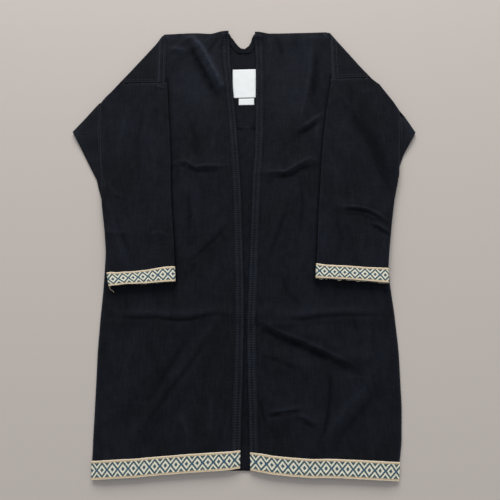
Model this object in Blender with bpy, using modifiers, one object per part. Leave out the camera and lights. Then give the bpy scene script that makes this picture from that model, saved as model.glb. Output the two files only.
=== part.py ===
"""A kimono coat of dark cotton, laid out on its back, with both sleeves folded down over the fronts.

Sizes are in millimetres, measured from the middle of the hem: +X to the right, +Y up to the neck,
+Z up from the floor. The coat's own frame has its origin at the middle of its box, on the floor.
"""

import math
from collections import namedtuple

import bmesh
import bpy
import numpy as np

# Driving sizes
MM = 0.001
BOX_MIDDLE = (-4.0, 447.75)
COAT_LENGTH = 905.0
WALL = 1.2
SEAM = 0.3
HEM_DROOP = 17.0
HEM_HALF_WIDTH = 280.0
FRONT_LOFT = 6.0
BAND_WIDTH = 16.0
BAND_WALL = 1.4
BAND_OVERHANG = 1.5
BAND_PEAK_REACH = 4.0
BAND_PEAK_DROP = 1.5
BRAID_WIDTH = 32.0
BRAID_WALL = 0.8
BRAID_OVERHANG = 0.7
SLEEVE_THICKNESS = 5.6
ARMHOLE_WALL = 3.0
CUFF_LIFT = 5.0
CUFF_LIFT_REACH = 110.0
CUFF_SLANT = 8.0
GUSSET_THICKNESS = 3.2
LABEL_WALL = 0.6

# Heights of a front's outer face at its edges, and how far in it takes to reach its full loft
SIDE_EDGE_HEIGHT = 2.9
SIDE_ROLL = 14.0
OPENING_EDGE_HEIGHT = 3.8
OPENING_ROLL = 26.0
SHOULDER_EDGE_HEIGHT = 2.9
SHOULDER_ROLL = 16.0

# Folds die out towards the edges, and keep a share of their height on the stitched band
FOLD_EDGE_FADE = 16.0
FOLD_HEM_FADE = 30.0
FOLD_BAND_SHARE = 0.35
FOLD_BAND_FADE = 24.0

# The body lies on the braid of the back's hem
HEM_LIFT = BRAID_WALL + SEAM
HEM_LIFT_FADE = 12.0

# The fronts stand up a little where the band turns over the shoulders
NECK_CORNERS = (-42.0, 34.0)
NECK_RISE = 7.0
NECK_RISE_REACH = 34.0

# A front lies flat and plain under the sleeve, from this far outside the sleeve's inner edge
UNDER_SLEEVE_MARGIN = 22.0
UNDER_SLEEVE_FADE = 14.0
UNDER_CUFF = 308.0

# The back's shoulder corners, folded over the fronts
CORNER_START = 788.0
CORNER_ROWS = (CORNER_START, 816.0, 844.0, 872.0, 894.0)
CORNER_HEIGHT = 9.0
CORNER_RISE = 3.0
FRONT_INSET = 8.0
FRONT_INSET_START = 774.0
FRONT_INSET_REACH = 12.0

# Rounding of the flattened tubes and of the folds
TUBE_ROUNDING = 4.5
TUBE_EDGE_POINT = 1.3
FOLD_ROUNDING = 4.0
GUSSET_ROUNDING = 2.4
GUSSET_EDGE_POINT = 0.8
STEP = 0.2
EDGE_CLEARANCE = 0.7

# A sleeve has a foot down to the floor where it reaches far enough past the body
FOOT_LEAST = 10.0
STEP_LEAST = 6.0
STEP_ELSEWHERE = 12.0

# The gussets' extra layers where the fold lies over them, and how they slope up to the sleeve
FLAP_LAYERS = 2.8
FLAP_SLOPE = 40.0
PLAIN_LAYERS = 0.4
RIDGE_DROP = 1.5
FLAP_LEAST = 3.0

# How finely the pieces are divided
FRONT_BODY_START = 48.0
FRONT_BODY_END = COAT_LENGTH - 18.0
FRONT_LAST_ROW = COAT_LENGTH - 7.0
FRONT_BODY_ROWS = 44
FRONT_COLUMNS = 15
FRONT_SIDE_COLUMNS = (8.0, 3.0, 0.0)
HEM_COLUMNS = 17
LABEL_POINTS = 4
SLEEVE_TOP_POINTS = 11
SLEEVE_BOTTOM_POINTS = 6
SLEEVE_UPPER_SECTIONS = 5
SLEEVE_LOWER_SECTIONS = 20
FLAP_POINTS = 4


def table(columns, *rows):
    """A short table as one array for each named column."""
    return dict(zip(columns.split(), np.array(rows, float).T))


# The body's side, up the side seam and the armhole and then along the fold to the shoulder
SIDE = table(
    "y left right",
    (-17, -279, 273),
    (26, -282, 278),
    (61, -283, 285),
    (122, -283, 290),
    (220, -284, 292),
    (283, -283, 289),
    (348, -280, 284),
    (530, -280, 284),
    (740, -268, 272),
    (788, -266, 268),
    (905, -173, 184),
)

# The fronts' opening edges
OPENING = table(
    "y left right",
    (0, -10, 10),
    (97, -8, 9),
    (170, -5, 7),
    (271, -3, 6),
    (350, -3, 10),
    (450, -5, 14),
    (518, -7, 17),
    (575, -9, 20),
    (617, -12, 24),
    (677, -16, 26),
    (739, -21, 27),
    (798, -27, 28),
    (835, -31, 28),
    (905, -33, 25),
)

# The shoulders' top edge and the scooped neck between them
TOP = table(
    "x y",
    (-173, 906),
    (-120, 908),
    (-75, 905),
    (-45, 907),
    (-33, 908),
    (-26, 896),
    (-17, 882),
    (-5, 864),
    (6, 864),
    (15, 881),
    (20, 898),
    (25, 905),
    (43, 903),
    (79, 902),
    (151, 902),
    (184, 902),
)

# The folded sleeves' outer and inner edges, from the armhole seam to the cuff
SLEEVE_LEFT = table(
    "y outer inner",
    (787, -266, -166),
    (771, -280, -165),
    (740, -309, -163),
    (690, -308, -159),
    (650, -306, -156),
    (600, -301, -153),
    (543, -297, -151),
    (509, -293, -149),
    (464, -285, -145),
    (404, -277, -140),
    (370, -272, -138),
    (337, -262, -136),
)
SLEEVE_RIGHT = table(
    "y outer inner",
    (787, 268, 187),
    (771, 288, 187),
    (707, 329, 175),
    (690, 328, 173),
    (650, 325, 167),
    (600, 321, 161),
    (565, 318, 158),
    (509, 304, 153),
    (464, 296, 149),
    (404, 286, 145),
    (370, 281, 142),
    (337, 279, 140),
)
SLEEVES = {"left": SLEEVE_LEFT, "right": SLEEVE_RIGHT}

# The gussets under the arms: their outer edges run down the fold to a point and back to the side seam
GUSSET_LEFT = table(
    "y outer",
    (736, -313),
    (706, -339),
    (673, -367),
    (640, -349),
    (600, -328),
    (565, -309),
    (543, -303),
    (508, -292),
)
GUSSET_RIGHT = table(
    "y outer",
    (703, 331),
    (680, 345),
    (656, 359),
    (632, 345),
    (608, 331),
    (580, 320),
    (560, 312),
    (508, 302),
)
GUSSETS = {"left": GUSSET_LEFT, "right": GUSSET_RIGHT}
FLAP_END = {"left": 665.0, "right": 650.0}

# The shoulder seams, where the folded-over part of the back ends
SHOULDER_SEAM = {"left": -171.0, "right": 189.0}
SIGN = {"left": -1.0, "right": 1.0}
SIDES = ("left", "right")

# Labels in the back of the neck: left, right, bottom and top
Label = namedtuple("Label", "name left right bottom top")
LABELS = (
    Label("neck_label", -24.0, 27.0, 746.0, 814.0),
    Label("size_label", -11.0, 22.0, 729.0, 744.0),
)

# The largest folds of the fronts: rise is the height of a ridge, or less than 0 for a trough
Fold = namedtuple("Fold", "side rise reach points")
FOLDS = (
    Fold("left", 3.0, 20, ((-263, 280), (-106, 271), (-58, 283), (-24, 278))),
    Fold("right", 3.0, 20, ((34, 270), (150, 276), (272, 276))),
    Fold("left", 3.0, 20, ((-150, 597), (-123, 601), (-102, 588), (-33, 589))),
    Fold("right", 3.0, 20, ((37, 574), (85, 573), (116, 592), (150, 600))),
    Fold("left", 6.0, 22, ((-122, 893), (-90, 850), (-64, 800), (-49, 768))),
    Fold("left", -2.6, 22, ((-135, 878), (-112, 830), (-84, 790), (-62, 745))),
    Fold("left", 4.0, 22, ((-163, 864), (-129, 860))),
    Fold("right", 4.5, 22, ((148, 882), (141, 795), (129, 736), (117, 678))),
    Fold("right", -2.6, 22, ((116, 870), (108, 790), (99, 720))),
    Fold("right", -3.0, 22, ((26, 256), (58, 233), (106, 214), (162, 187), (208, 165))),
    Fold("right", 5.0, 24, ((30, 282), (62, 262), (112, 242), (168, 215), (216, 192))),
    Fold("left", 3.5, 26, ((-57, 252), (-104, 186), (-159, 114), (-195, 61))),
    Fold("left", -2.4, 24, ((-84, 258), (-132, 190), (-186, 118), (-222, 66))),
    Fold("left", 3.0, 22, ((-64, 150), (-63, 52))),
    Fold("left", 3.0, 20, ((-114, 545), (-112, 440))),
    Fold("left", 3.0, 22, ((-108, 386), (-59, 431), (-33, 461))),
    Fold("right", 3.5, 22, ((161, 188), (158, 122), (133, 43))),
    Fold("right", 3.0, 22, ((29, 208), (104, 178))),
    Fold("right", 3.0, 22, ((43, 90), (102, 97))),
    Fold("right", 3.5, 22, ((90, 505), (68, 440), (49, 388))),
)
SLEEVE_FOLDS = (
    Fold("left", 2.4, 24, ((-280, 508), (-256, 444), (-239, 388))),
    Fold("left", 2.0, 22, ((-278, 450), (-232, 448))),
    Fold("left", 1.8, 22, ((-195, 443), (-150, 438))),
    Fold("right", 2.6, 24, ((194, 494), (250, 489), (288, 463))),
    Fold("right", -1.6, 30, ((225, 700), (268, 618), (290, 530))),
)
SLEEVE_FOLD_FADE = 14.0

Finish = namedtuple("Finish", "colour roughness")
COTTON = Finish((0.0105, 0.0120, 0.0185), 0.95)
WORN_COTTON = Finish((0.0160, 0.0180, 0.0260), 0.95)
BRAID = Finish((0.62, 0.58, 0.46), 0.80)
LABEL_SATIN = Finish((0.78, 0.80, 0.80), 0.55)


def ease(t):
    """0 below 0, 1 above 1 and a smooth rise between."""
    t = min(max(t, 0.0), 1.0)
    return t * t * (3.0 - 2.0 * t)


def along(rows, key, at, value):
    """The table's value where its key column, rising or falling, passes the given number."""
    order = np.argsort(rows[key])
    return float(np.interp(at, rows[key][order], rows[value][order]))


def side_edge(side, y):
    return along(SIDE, "y", y, side)


def opening_edge(side, y):
    return along(OPENING, "y", y, side)


def hem_y(x):
    """The hem droops towards the side seams."""
    return -HEM_DROOP * (x / HEM_HALF_WIDTH) ** 2


def top_y(x):
    return along(TOP, "x", x, "y")


def front_edge(side, y):
    """A front stops inside the fold of the back that wraps round it at the shoulder."""
    inset = FRONT_INSET * ease((y - FRONT_INSET_START) / FRONT_INSET_REACH)
    return side_edge(side, y) - SIGN[side] * inset


def distance_to_line(x, y, points):
    """How far a place is from a line through points."""
    here = np.array((x, y), float)
    nearest = 1e9
    for start, end in zip(points, points[1:]):
        start = np.array(start, float)
        run = np.array(end, float) - start
        share = min(max((here - start) @ run / (run @ run), 0.0), 1.0)
        nearest = min(nearest, float(np.linalg.norm(here - start - share * run)))
    return nearest


def bare_of_sleeve(side, x, y):
    """1 where a front lies open to view, 0 under the folded sleeve and shoulder, which lie flat on it."""
    inner = along(SLEEVES[side], "y", y, "inner")
    inside = abs(x) - abs(inner) + UNDER_SLEEVE_MARGIN
    beside = 1.0 - ease(inside / UNDER_SLEEVE_FADE)
    below = 1.0 - ease((y - UNDER_CUFF) / UNDER_SLEEVE_FADE)
    return max(beside, below)


def fold_height(folds, side, x, y):
    """What one side's folds add to the height at a place."""
    height = 0.0
    for fold in folds:
        if fold.side != side:
            continue
        share = distance_to_line(x, y, fold.points) / fold.reach
        if share < 1.0:
            height += fold.rise * (1.0 - share * share) ** 2
    return height


def neck_rise(x, y):
    """What the turn of the band over the shoulders adds to a front's height."""
    height = 0.0
    for middle in NECK_CORNERS:
        away = math.hypot(x - middle, y - COAT_LENGTH) / NECK_RISE_REACH
        height += NECK_RISE * (1.0 - ease(away))
    return height


def hem_lift(x, y):
    """What the braid of the back's hem adds to the height of the body above it."""
    return HEM_LIFT * (1.0 - ease((y - hem_y(x) - BRAID_WIDTH) / HEM_LIFT_FADE))


def front_top(side, x, y):
    """Height of a front's outer face."""
    from_side = abs(front_edge(side, y) - x)
    from_opening = abs(x - opening_edge(side, y))
    from_top = top_y(x) - y
    edges = (
        (SIDE_EDGE_HEIGHT, from_side / SIDE_ROLL),
        (OPENING_EDGE_HEIGHT, from_opening / OPENING_ROLL),
        (SHOULDER_EDGE_HEIGHT, from_top / SHOULDER_ROLL),
    )
    height = min(edge + (FRONT_LOFT - edge) * ease(share) for edge, share in edges)
    folds = fold_height(FOLDS, side, x, y) * bare_of_sleeve(side, x, y)
    folds *= ease(from_side / FOLD_EDGE_FADE) * ease(from_top / FOLD_EDGE_FADE)
    folds *= ease((y - hem_y(x)) / FOLD_HEM_FADE)
    folds *= FOLD_BAND_SHARE + (1.0 - FOLD_BAND_SHARE) * ease(from_opening / FOLD_BAND_FADE)
    return max(height + folds, SIDE_EDGE_HEIGHT) + hem_lift(x, y) + neck_rise(x, y)


def place(x, y, z):
    """A point in the coat's own frame, in metres."""
    return ((x - BOX_MIDDLE[0]) * MM, (y - BOX_MIDDLE[1]) * MM, z * MM)


def material(name, finish):
    made = bpy.data.materials.new(name)
    made.use_nodes = True
    shader = made.node_tree.nodes["Principled BSDF"]
    shader.inputs["Base Color"].default_value = (*finish.colour, 1.0)
    shader.inputs["Roughness"].default_value = finish.roughness
    shader.inputs["Metallic"].default_value = 0.0
    made.diffuse_color = (*finish.colour, 1.0)
    return made


def add_object(name, mesh, finish):
    """Makes a mesh one named piece of the coat."""
    data = bpy.data.meshes.new(name)
    mesh.to_mesh(data)
    mesh.free()
    data.shade_smooth()
    data.set_sharp_from_angle(angle=math.radians(50))
    data.materials.append(material(name, finish))
    piece = bpy.data.objects.new(name, data)
    COAT.objects.link(piece)
    piece.parent = FRAME
    return piece


def add_wall(piece, thickness, outward):
    """Gives an open surface its thickness, on the side that its faces show or on the other."""
    wall = piece.modifiers.new("wall", "SOLIDIFY")
    wall.thickness = thickness * MM
    wall.offset = 1.0 if outward else -1.0


def grid_mesh(rows):
    """An open surface through rows of points: rows run up the coat and points from left to right."""
    mesh = bmesh.new()
    made = [[mesh.verts.new(place(*point)) for point in row] for row in rows]
    for low, high in zip(made, made[1:]):
        for k in range(len(low) - 1):
            mesh.faces.new((low[k], low[k + 1], high[k + 1], high[k]))
    return mesh


def left_to_right(side, rows):
    """Rows that start at the opening, turned so that both fronts run from left to right."""
    return [row[::-1] for row in rows] if side == "left" else rows


def front_rows():
    """The heights at which a front has its rows of points."""
    hem = [0.0, BRAID_WIDTH / 2, BRAID_WIDTH, BRAID_WIDTH + 1.0]
    body = list(np.linspace(FRONT_BODY_START, FRONT_BODY_END, FRONT_BODY_ROWS))
    return hem + body + [FRONT_LAST_ROW, COAT_LENGTH]


def front_grid(side):
    """Points of a front's outer face, from the opening edge to the side."""
    grid = []
    for height in front_rows():
        start = opening_edge(side, height)
        end = front_edge(side, height)
        edge = [0.0, BAND_WIDTH / 2, BAND_WIDTH]
        side_columns = [abs(end - start) - inset for inset in FRONT_SIDE_COLUMNS]
        across = edge + list(np.linspace(BAND_WIDTH, side_columns[0], FRONT_COLUMNS))[1:] + side_columns[1:]
        row = []
        for step in across:
            x = start + SIGN[side] * step
            y = hem_y(x) + height / COAT_LENGTH * (top_y(x) - hem_y(x))
            row.append((x, y, front_top(side, x, y)))
        grid.append(row)
    return grid


def moved(points, x=0.0, y=0.0, z=0.0):
    return [(px + x, py + y, pz + z) for px, py, pz in points]


def add_front(side):
    """One front, its outer face up, with its wall below."""
    rows = left_to_right(side, front_grid(side))
    piece = add_object(f"front_{side}", grid_mesh(rows), COTTON)
    add_wall(piece, WALL, outward=False)


def add_front_band(side):
    """The stitched band along a front's opening edge, lying on the front's own points."""
    rows = [moved(row[:3], z=SEAM) for row in front_grid(side)[3:]]
    over = -SIGN[side] * BAND_OVERHANG
    rows = [moved(row[:1], x=over) + row[1:] for row in rows]
    peak = moved(rows[-1], y=BAND_PEAK_REACH, z=-BAND_PEAK_DROP)
    piece = add_object(f"front_band_{side}", grid_mesh(left_to_right(side, rows + [peak])), WORN_COTTON)
    add_wall(piece, BAND_WALL, outward=True)


def add_front_braid(side):
    """The woven braid along a front's hem."""
    over = SIGN[side] * BRAID_OVERHANG
    rows = []
    for row in front_grid(side)[:3]:
        row = moved(row, z=SEAM)
        rows.append(moved(row[:1], x=-over) + row[1:-1] + moved(row[-1:], x=over))
    piece = add_object(f"hem_braid_{side}", grid_mesh(left_to_right(side, rows)), BRAID)
    add_wall(piece, BRAID_WALL, outward=True)


def hem_strip(heights, lift):
    """Rows of points across the back's hem, at heights above it."""
    rows = []
    for height in heights:
        row = []
        for x in np.linspace(side_edge("left", height), side_edge("right", height), HEM_COLUMNS):
            row.append((x, hem_y(x) + height, lift(height)))
        rows.append(row)
    return rows


def add_back_braid():
    """The braid goes on round the back's hem, where it lies on the floor."""
    rows = hem_strip((0.0, BRAID_WIDTH), lambda height: 0.0)
    piece = add_object("hem_braid_back", grid_mesh(rows), BRAID)
    add_wall(piece, BRAID_WALL, outward=True)


def shoulder_fold(side, y):
    """Outer points of the back at one height: from the floor round the fold and in to the shoulder seam."""
    sign = SIGN[side]
    top = CORNER_HEIGHT + CORNER_RISE * (COAT_LENGTH - y) / (COAT_LENGTH - CORNER_START)
    edge = side_edge(side, y)
    middle = edge - sign * FOLD_ROUNDING
    points = []
    for turn in (-90, -45, 0, 45, 90):
        angle = math.radians(turn)
        x = middle + sign * FOLD_ROUNDING * math.cos(angle)
        points.append((x, y, top / 2 * (1.0 + math.sin(angle))))
    rest = FRONT_LOFT + SEAM + WALL + STEP
    for share, height in ((0.45, top), (0.85, top - SEAM * 2), (1.0, rest)):
        points.append((middle + share * (SHOULDER_SEAM[side] - middle), y, height))
    return points


def add_back():
    """The back: flat on the floor, with its two shoulder corners folded over the fronts."""
    mesh = bmesh.new()
    floor_rows = hem_strip(
        (0.0, BRAID_WIDTH / 2, BRAID_WIDTH, BRAID_WIDTH + HEM_LIFT_FADE),
        lambda height: HEM_LIFT * (height <= BRAID_WIDTH),
    )
    made = [[mesh.verts.new(place(*point)) for point in row] for row in floor_rows]
    for low, high in zip(made, made[1:]):
        for k in range(len(low) - 1):
            mesh.faces.new((low[k], high[k], high[k + 1], low[k + 1]))
    outline = list(made[-1])
    folds = {}
    for side in SIDES:
        folds[side] = [
            [mesh.verts.new(place(*point)) for point in shoulder_fold(side, y)]
            for y in CORNER_ROWS
        ]
        for low, high in zip(folds[side], folds[side][1:]):
            for k in range(len(low) - 1):
                face = mesh.faces.new((low[k], high[k], high[k + 1], low[k + 1]))
                if side == "left":
                    face.normal_flip()
    seam_heights = [y for y in SIDE["y"] if BRAID_WIDTH + HEM_LIFT_FADE < y < CORNER_START]
    right = [mesh.verts.new(place(side_edge("right", y), y, 0.0)) for y in seam_heights]
    left = [mesh.verts.new(place(side_edge("left", y), y, 0.0)) for y in seam_heights]
    top = [mesh.verts.new(place(x, y, 0.0)) for x, y in zip(TOP["x"], TOP["y"])]
    outline += right + [row[0] for row in folds["right"]] + top[::-1]
    outline += [row[0] for row in folds["left"][::-1]] + left[::-1]
    mesh.faces.new(outline[::-1])
    piece = add_object("back", mesh, COTTON)
    add_wall(piece, WALL, outward=False)


def add_neck_band():
    """The band inside the back of the neck, along the scooped edge."""
    start, end = opening_edge("left", COAT_LENGTH), opening_edge("right", COAT_LENGTH)
    path = [(x, y) for x, y in zip(TOP["x"], TOP["y"]) if start <= x <= end]
    outer, inner = [], []
    for k, (x, y) in enumerate(path):
        before = path[max(k - 1, 0)]
        after = path[min(k + 1, len(path) - 1)]
        run = np.array(after, float) - np.array(before, float)
        run /= np.linalg.norm(run)
        down = np.array((run[1], -run[0]))
        outer.append((x, y, WALL + SEAM))
        inner.append((x + BAND_WIDTH * down[0], y + BAND_WIDTH * down[1], WALL + SEAM))
    piece = add_object("neck_band", grid_mesh([inner, outer]), WORN_COTTON)
    add_wall(piece, BAND_WALL, outward=True)


def add_label(label):
    """A plain woven label on the inside of the back."""
    rows = []
    for y in np.linspace(label.bottom, label.top, LABEL_POINTS):
        rows.append([(x, y, WALL + SEAM) for x in np.linspace(label.left, label.right, LABEL_POINTS)])
    piece = add_object(label.name, grid_mesh(rows), LABEL_SATIN)
    add_wall(piece, LABEL_WALL, outward=True)


def rounding(distance, reach=TUBE_ROUNDING):
    """Share of a flattened tube's height at a distance in from its edge, as a quarter round."""
    share = min(max(distance / reach, 0.0), 1.0)
    return math.sqrt(1.0 - (1.0 - share) ** 2)


def flat_section(outer, inner, step_x, top, bottom):
    """Points round a flattened tube: (x, z) over the top from outer to inner edge, and back below.

    step_x is where the bottom steps up on to the body, and bottom(x, True) is its height outside it.
    """
    width = abs(inner - outer)
    sign = 1.0 if inner > outer else -1.0
    step = abs(step_x - outer)
    far_rounding, far_point = width - TUBE_ROUNDING, width - TUBE_EDGE_POINT
    over = [0.0, TUBE_EDGE_POINT]
    over += list(np.linspace(TUBE_ROUNDING, far_rounding, SLEEVE_TOP_POINTS))
    over += [far_point, width]
    under = [far_point]
    under += list(np.linspace(far_rounding, step + TUBE_ROUNDING, SLEEVE_BOTTOM_POINTS))
    under += [step + STEP / 2, step - STEP / 2, TUBE_ROUNDING, TUBE_EDGE_POINT]

    def middle(distance):
        at_outer = distance < width / 2
        x = outer if at_outer else inner
        return (top(x) + bottom(x, at_outer)) / 2

    def point(distance, upper):
        x = outer + sign * distance
        full = top(x) if upper else bottom(x, distance < step)
        share = rounding(min(distance, width - distance))
        return (x, middle(distance) + (full - middle(distance)) * share)

    return [point(d, True) for d in over] + [point(d, False) for d in under]


def grown(section, by):
    """A section's points moved outwards, or inwards where by is less than 0."""
    points = np.array(section, float)
    before = np.roll(points, 1, axis=0)
    run = np.roll(points, -1, axis=0) - before
    run /= np.linalg.norm(run, axis=1)[:, None]
    turns = float(np.sum(before[:, 0] * points[:, 1] - points[:, 0] * before[:, 1]))
    normal = np.stack((run[:, 1], -run[:, 0]), axis=1) * math.copysign(1.0, turns)
    return points + normal * by


def tube_mesh(outside, inside, open_start):
    """A tube's wall from rings outside and inside it. It is open at its end, and at its start if told so."""
    mesh = bmesh.new()
    skins = [[[mesh.verts.new(place(*p)) for p in ring] for ring in rings] for rings in (outside, inside)]
    for rings in skins:
        for low, high in zip(rings, rings[1:]):
            for k in range(len(low)):
                n = (k + 1) % len(low)
                mesh.faces.new((low[k], low[n], high[n], high[k]))
    rims = [(skins[0][-1], skins[1][-1])]
    if open_start:
        rims.append((skins[0][0], skins[1][0]))
    else:
        mesh.faces.new(skins[0][0])
        mesh.faces.new(skins[1][0])
    for outer, inner in rims:
        for k in range(len(outer)):
            n = (k + 1) % len(outer)
            mesh.faces.new((outer[k], outer[n], inner[n], inner[k]))
    bmesh.ops.recalc_face_normals(mesh, faces=mesh.faces)
    return mesh


def cuff_lift(side, y):
    """Both layers of a sleeve rise off the front towards the cuff."""
    end = SLEEVES[side]["y"].min()
    return CUFF_LIFT * (1.0 - ease((y - end) / CUFF_LIFT_REACH))


def sleeve_rest(side, y):
    """Height of a sleeve's lower face where it lies on the front."""
    return FRONT_LOFT + SEAM + cuff_lift(side, y)


def sleeve_section(side, y, inset=0.0):
    """One section of a sleeve at a height on its outer edge, or of its hollow where inset is given."""
    rows = SLEEVES[side]
    sign = SIGN[side]
    outer = along(rows, "y", y, "outer") - sign * inset
    inner = along(rows, "y", y, "inner") + sign * inset
    rest = sleeve_rest(side, y)
    step = abs(outer) - abs(side_edge(side, y)) - EDGE_CLEARANCE
    has_foot = step > FOOT_LEAST and inset == 0.0
    step_x = outer - sign * (step if step > STEP_LEAST else STEP_ELSEWHERE)
    foot = 0.0 if y > GUSSETS[side]["y"].max() else GUSSET_THICKNESS + SEAM

    def top(x):
        from_edge = min(abs(x - outer), abs(x - inner))
        folds = fold_height(SLEEVE_FOLDS, side, x, y) * ease(from_edge / SLEEVE_FOLD_FADE)
        return rest + SLEEVE_THICKNESS - inset + folds

    def bottom(x, outside):
        return foot if outside and has_foot else rest + inset

    return flat_section(outer, inner, step_x, top, bottom)


def sleeve_ring(side, y, inset=0.0, growth=0.0):
    """A section as points in space. Towards the cuff it slants, higher at its inner edge."""
    rows = SLEEVES[side]
    start, end = rows["y"].max(), rows["y"].min()
    slant = CUFF_SLANT * ((start - y) / (start - end)) ** 2
    outer = along(rows, "y", y, "outer")
    inner = along(rows, "y", y, "inner")
    ring = []
    for x, z in grown(sleeve_section(side, y, inset), growth):
        share = (x - outer) / (inner - outer)
        ring.append((x, y + slant * share, z))
    return ring


def sleeve_stations(side):
    """Heights of a sleeve's sections, with a pair where the seam of the gusset steps under it."""
    start, end = SLEEVES[side]["y"].max(), SLEEVES[side]["y"].min()
    seam = GUSSETS[side]["y"].max()
    upper = list(np.linspace(start, seam + 1.0, SLEEVE_UPPER_SECTIONS))
    lower = list(np.linspace(seam, end + BRAID_WIDTH + 2.0, SLEEVE_LOWER_SECTIONS))
    return upper + lower + [end + BRAID_WIDTH, end + BRAID_WIDTH / 2, end]


def add_sleeve(side):
    """A sleeve: a flattened tube, closed by the armhole seam and open at the cuff."""
    stations = sleeve_stations(side)
    hollow = [stations[0] - ARMHOLE_WALL] + stations[1:]
    outside = [sleeve_ring(side, y) for y in stations]
    inside = [sleeve_ring(side, y, inset=WALL) for y in hollow]
    add_object(f"sleeve_{side}", tube_mesh(outside, inside, open_start=False), COTTON)


def add_cuff_braid(side):
    """The woven braid all round a cuff."""
    stations = sleeve_stations(side)[-3:]
    outside = [sleeve_ring(side, y, growth=SEAM + BRAID_WALL) for y in stations]
    inside = [sleeve_ring(side, y, growth=SEAM) for y in stations]
    add_object(f"cuff_braid_{side}", tube_mesh(outside, inside, open_start=True), BRAID)


def gusset_section(side, y):
    """One section of a gusset: two layers on the floor, and four where the fold lies over them."""
    sign = SIGN[side]
    outer = along(GUSSETS[side], "y", y, "outer")
    inner = side_edge(side, y) + sign * EDGE_CLEARANCE
    sleeve = along(SLEEVES[side], "y", y, "outer") + sign * SEAM
    folded = y > FLAP_END[side]
    ridge = sleeve_rest(side, y) + SLEEVE_THICKNESS - RIDGE_DROP
    layers = GUSSET_THICKNESS + (FLAP_LAYERS if folded else PLAIN_LAYERS)

    def top(x):
        beyond = abs(x) - abs(sleeve)
        if beyond < 0.0:
            return GUSSET_THICKNESS
        if not folded:
            return layers
        return layers + (ridge - layers) * (1.0 - ease(beyond / FLAP_SLOPE))

    width = abs(outer) - abs(inner)
    flap = max(abs(outer) - abs(sleeve), FLAP_LEAST)
    steps = [0.0, GUSSET_EDGE_POINT]
    steps += list(np.linspace(GUSSET_ROUNDING, flap - STEP, FLAP_POINTS + 1))
    steps += [flap + STEP, width]
    over = []
    for distance in steps:
        x = outer - sign * distance
        half = top(x) / 2
        over.append((x, half + half * rounding(distance, GUSSET_ROUNDING)))
    under = [(outer - sign * distance, 0.0) for distance in (width, GUSSET_ROUNDING)]
    low_share = 1.0 - rounding(GUSSET_EDGE_POINT, GUSSET_ROUNDING)
    under.append((outer - sign * GUSSET_EDGE_POINT, top(outer) / 2 * low_share))
    return over + under


def add_gusset(side):
    """The triangle let in under the arm, folded over along the sleeve's own fold."""
    rows = GUSSETS[side]["y"]
    break_at = FLAP_END[side]
    bends = [y for y in SIDE["y"] if min(rows) < y < max(rows)]
    breaks = [break_at + EDGE_CLEARANCE, break_at - EDGE_CLEARANCE]
    heights = sorted(set([*rows, *bends, *breaks]), reverse=True)
    rings = [[(x, y, z) for x, z in gusset_section(side, y)] for y in heights]
    mesh = bmesh.new()
    made = [[mesh.verts.new(place(*p)) for p in ring] for ring in rings]
    for low, high in zip(made, made[1:]):
        for k in range(len(low)):
            n = (k + 1) % len(low)
            mesh.faces.new((low[k], low[n], high[n], high[k]))
    mesh.faces.new(made[0])
    mesh.faces.new(made[-1])
    bmesh.ops.recalc_face_normals(mesh, faces=mesh.faces)
    add_object(f"gusset_{side}", mesh, COTTON)


for old in list(bpy.data.objects):
    bpy.data.objects.remove(old)
COAT = bpy.data.collections.new("kimono_coat")
bpy.context.scene.collection.children.link(COAT)
FRAME = bpy.data.objects.new("kimono_coat_frame", None)
COAT.objects.link(FRAME)

add_back()
add_back_braid()
add_neck_band()
for neck_label in LABELS:
    add_label(neck_label)
for coat_side in SIDES:
    add_front(coat_side)
    add_front_band(coat_side)
    add_front_braid(coat_side)
    add_gusset(coat_side)
    add_sleeve(coat_side)
    add_cuff_braid(coat_side)
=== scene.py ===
# %% [markdown]
# # A kimono coat, laid out on a pale floor
# The coat is dark cotton with a woven braid at its hem and cuffs. It lies on its back, with both sleeves
# folded down over the fronts. The solid model gives every piece its place and its main shape. This script
# dresses it: each solid is replaced by a thin cloth shell that follows it and adds the finer creases.

# %% The frame
import math
from collections import namedtuple

import bmesh
import bpy
import numpy as np
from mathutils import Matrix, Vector, noise
from mathutils.bvhtree import BVHTree


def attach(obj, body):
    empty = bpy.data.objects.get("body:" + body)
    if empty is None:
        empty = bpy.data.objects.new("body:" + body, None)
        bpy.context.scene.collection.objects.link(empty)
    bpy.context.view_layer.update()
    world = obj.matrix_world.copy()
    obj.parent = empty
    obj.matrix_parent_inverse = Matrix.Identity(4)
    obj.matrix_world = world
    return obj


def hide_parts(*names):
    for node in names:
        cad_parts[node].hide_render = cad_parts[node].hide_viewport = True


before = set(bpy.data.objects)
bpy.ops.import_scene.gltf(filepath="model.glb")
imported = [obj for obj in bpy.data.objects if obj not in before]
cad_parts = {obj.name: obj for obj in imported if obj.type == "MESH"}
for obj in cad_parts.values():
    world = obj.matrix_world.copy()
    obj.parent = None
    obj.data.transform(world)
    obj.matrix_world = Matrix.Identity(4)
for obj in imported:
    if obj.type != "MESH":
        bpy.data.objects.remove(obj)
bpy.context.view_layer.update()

MM = 0.001
HEM_MIDDLE = np.array((4.0, -447.75, 0.0))
SIGN = {"left": -1.0, "right": 1.0}
SIDES = ("left", "right")

# %% [markdown]
# ## Camera
# The photo was taken by hand from about a metre up, a little below the middle of the coat and tilted
# towards the neck. A camera could be aimed by eye, but here its pose was worked out from the joints
# between the floor tiles, so it is written down as a place and three angles. A 35 mm lens matches the
# photo's width.

# %% The camera
camera = bpy.data.objects.new("camera", bpy.data.cameras.new("camera"))
camera.location = (0.0432, -0.2496, 0.9524)
camera.rotation_euler = [math.radians(angle) for angle in (12.548, 1.767, -0.355)]
camera.data.lens = 35.0
camera.data.sensor_width = 36.0
bpy.context.scene.collection.objects.link(camera)
bpy.context.scene.camera = camera
print("camera height:", round(camera.location.z, 3), "m")

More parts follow.
